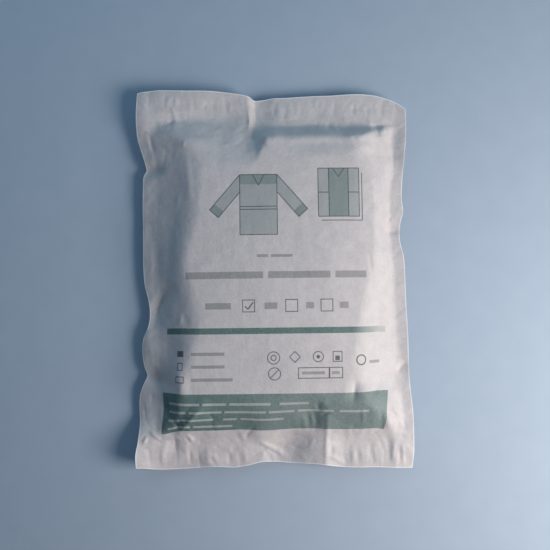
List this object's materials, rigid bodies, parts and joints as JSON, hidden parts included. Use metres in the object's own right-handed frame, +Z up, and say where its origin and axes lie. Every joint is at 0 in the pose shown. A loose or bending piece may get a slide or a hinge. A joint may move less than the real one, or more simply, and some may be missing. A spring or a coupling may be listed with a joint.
{
  "type": "sealed peel pouch with a folded surgical gown",
  "caption": "Flat sterile peel pouch, sealed along all four sides, filled out by a folded gown and lying on its back.",
  "frame": {"origin": "middle of the underside, on the surface that the pouch lies on", "axes": "+Z up through the front web, +Y along the pouch towards its top seal, +X across to the right side as the print is read"},
  "size_m": [0.2891, 0.4019, 0.0446],
  "materials": {
    "printed_paper": "matte",
    "back_film": "satin",
    "gown_fabric": "matte"
  },
  "bodies": {
    "root": {"front_web": "printed_paper", "back_web": "back_film", "folded_gown": "gown_fabric"}
  },
  "joints": []
}
